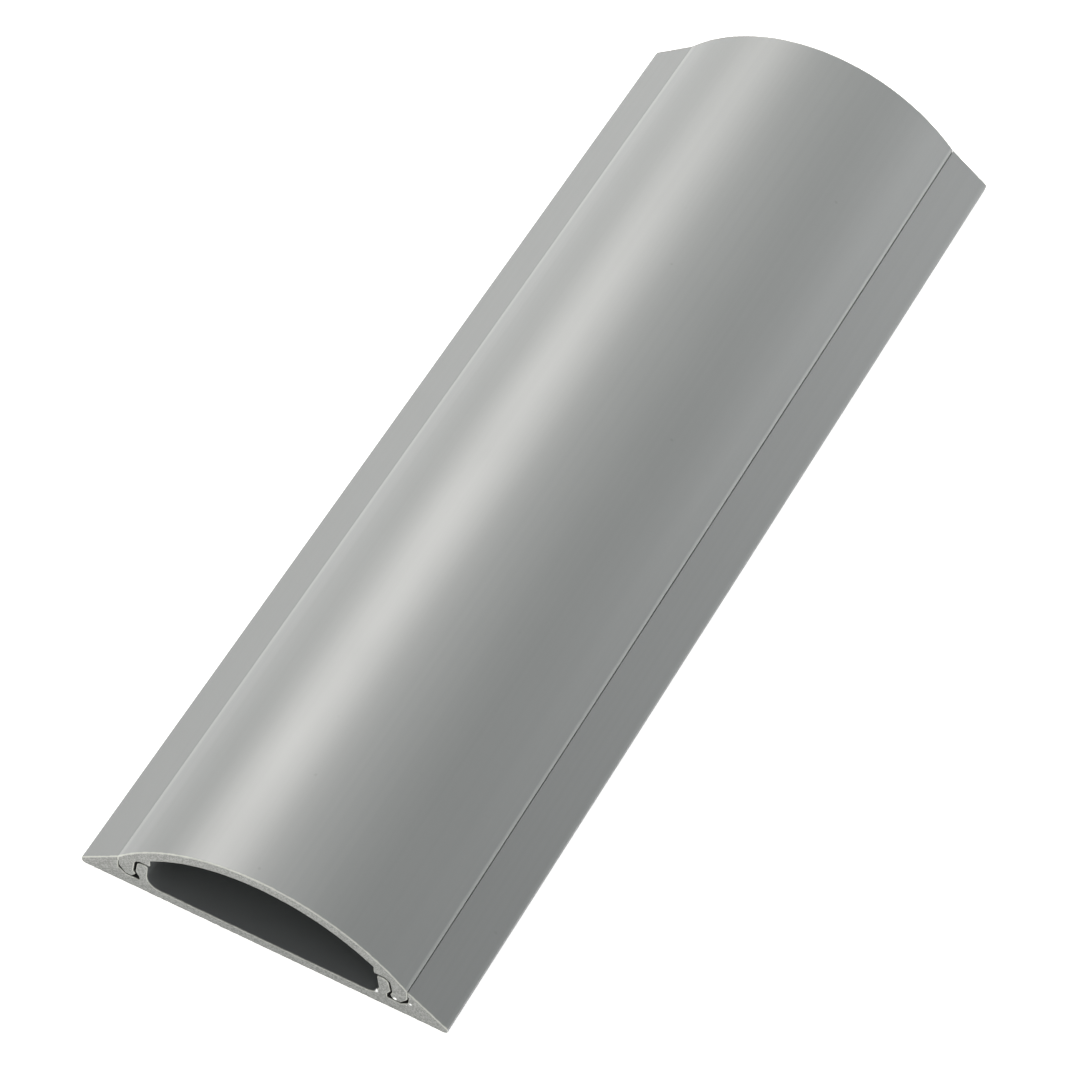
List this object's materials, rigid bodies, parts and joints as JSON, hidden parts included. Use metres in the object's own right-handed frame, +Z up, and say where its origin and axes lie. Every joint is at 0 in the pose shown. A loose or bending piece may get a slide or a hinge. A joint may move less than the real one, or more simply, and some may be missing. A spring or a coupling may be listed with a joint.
{
  "type": "floor cord cover",
  "caption": "Flat floor base with sloping edges and a domed cover that clips onto it, with a channel for cords between them.",
  "frame": {"origin": "middle of the base's underside, at floor level", "axes": "+Y along the length, +X across the section, +Z up from the floor; the end at -Y is the one near the camera in the picture"},
  "size_m": [0.07, 0.212, 0.0194],
  "materials": {
    "base_pvc": "satin grey rigid PVC, with fine lines along its length and sawn ends",
    "cover_pvc": "satin grey rigid PVC, with fine lines along its length and sawn ends"
  },
  "bodies": {
    "base": {"base": "base_pvc"},
    "cover": {"snap_cover": "cover_pvc"}
  },
  "joints": [
    {"name": "cover_slide", "type": "slide", "parent": "base", "child": "cover", "axis": [0, 1, 0], "range_m": [-0.215, 0.215]}
  ]
}
